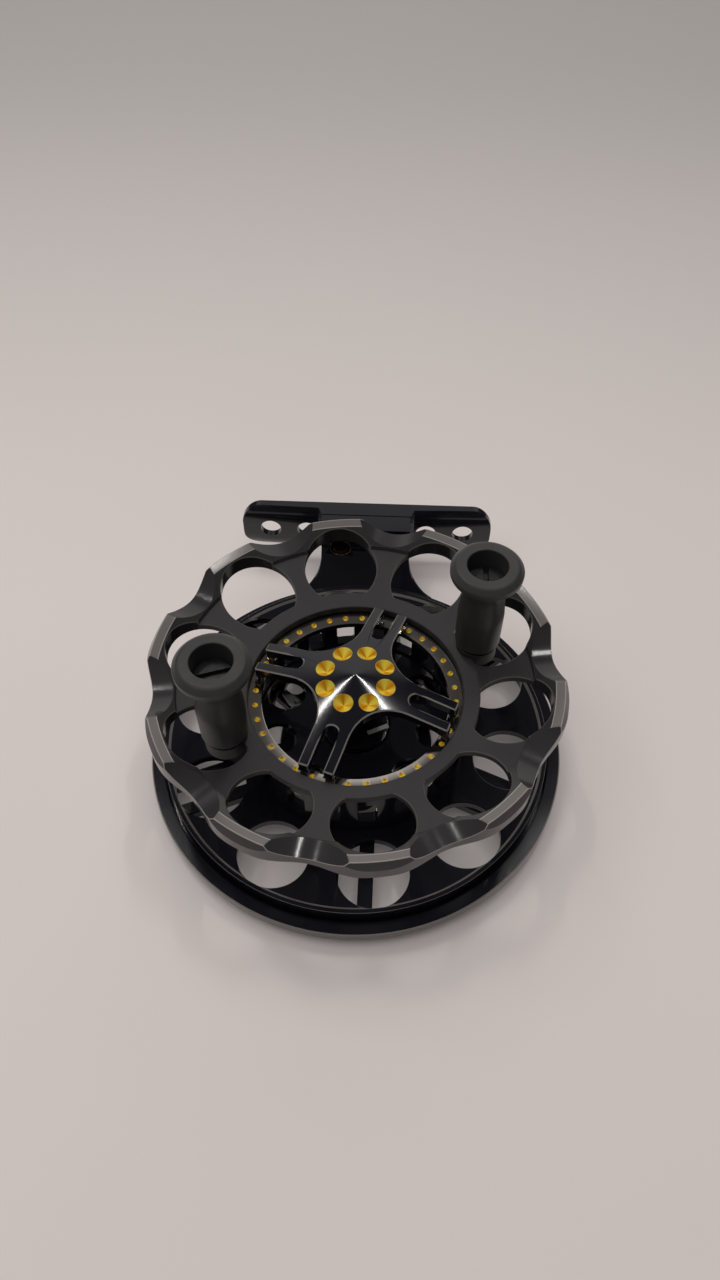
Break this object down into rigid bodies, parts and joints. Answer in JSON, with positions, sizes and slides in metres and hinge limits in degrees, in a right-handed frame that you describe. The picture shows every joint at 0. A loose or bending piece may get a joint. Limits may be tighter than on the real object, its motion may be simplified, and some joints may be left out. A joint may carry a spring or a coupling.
{
  "type": "fly reel",
  "caption": "Black machined fly fishing reel with a dished, scalloped spool, twin handles, star hub and a reel foot.",
  "frame": {"origin": "centre of the drag knob's flat outer face, on the spool's axis", "axes": "+Z along the spool's axis towards the handles, +Y from the axis towards the reel foot"},
  "size_m": [0.0922, 0.1082, 0.0511],
  "materials": {
    "satin_black": "satin black anodised",
    "gloss_black": "glossy black anodised",
    "matt_black": "matt",
    "gold": "bright gold anodised",
    "steel": "turned",
    "carbon": "woven matt"
  },
  "bodies": {
    "frame": {"frame_ring": "gloss_black", "frame_spider": "gloss_black", "foot_post": "gloss_black", "reel_foot": "gloss_black", "foot_screw_1": "gold", "foot_screw_2": "gold", "spindle": "steel", "rear_bearing_inner": "steel", "front_bearing_inner": "steel", "spool_lock_nut": "gloss_black", "drag_washer_lower": "carbon", "drag_washer_upper": "carbon", "click_pin": "steel", "click_spring": "steel"},
    "spool": {"spool_front_flange": "satin_black", "spool_drum": "gloss_black", "spool_rear_flange": "gloss_black", "hub_star": "gloss_black", "one_way_clutch": "steel", "click_gear": "steel", "rear_bearing_outer": "steel", "front_bearing_outer": "steel", "rear_bearing_balls": "steel", "front_bearing_balls": "steel", "handle_post_1": "steel", "handle_post_2": "steel", "handle_screw_1": "steel", "handle_screw_2": "steel"},
    "handle_1": {"handle_knob_1": "matt_black"},
    "handle_2": {"handle_knob_2": "matt_black"},
    "drag_rotor": {"drag_rotor": "steel"},
    "drag_plate": {"drag_pressure_plate": "steel"},
    "drag_knob": {"drag_knob": "gloss_black"},
    "click_pawl": {"click_pawl": "steel"}
  },
  "joints": [
    {"name": "spool_spin", "type": "hinge", "parent": "frame", "child": "spool", "pos_m": [0, 0, 0], "axis": [0, 0, 1], "continuous": true},
    {"name": "handle_1_spin", "type": "hinge", "parent": "spool", "child": "handle_1", "pos_m": [0.02584, 0.01294, 0.027], "axis": [0, 0, 1], "continuous": true},
    {"name": "handle_2_spin", "type": "hinge", "parent": "spool", "child": "handle_2", "pos_m": [-0.02584, -0.01294, 0.027], "axis": [0, 0, 1], "continuous": true},
    {"name": "rotor_slip", "type": "hinge", "parent": "frame", "child": "drag_rotor", "pos_m": [0, 0, 0.007], "axis": [0, 0, 1], "continuous": true},
    {"name": "knob_turn", "type": "hinge", "parent": "frame", "child": "drag_knob", "pos_m": [0, 0, 0], "axis": [0, 0, 1], "range_deg": [0, 300]},
    {"name": "plate_press", "type": "slide", "parent": "frame", "child": "drag_plate", "axis": [0, 0, -1], "range_m": [0, 0.00025]},
    {"name": "pawl_rock", "type": "hinge", "parent": "frame", "child": "click_pawl", "pos_m": [-0.01394, 0.00805, 0.007], "axis": [0, 0, 1], "range_deg": [-10, 10], "stiffness_Nm_per_rad": 0.002}
  ],
  "couplings": [
    {"joint": "plate_press", "follows": "knob_turn", "m_per_rad": 0.000047555}
  ]
}
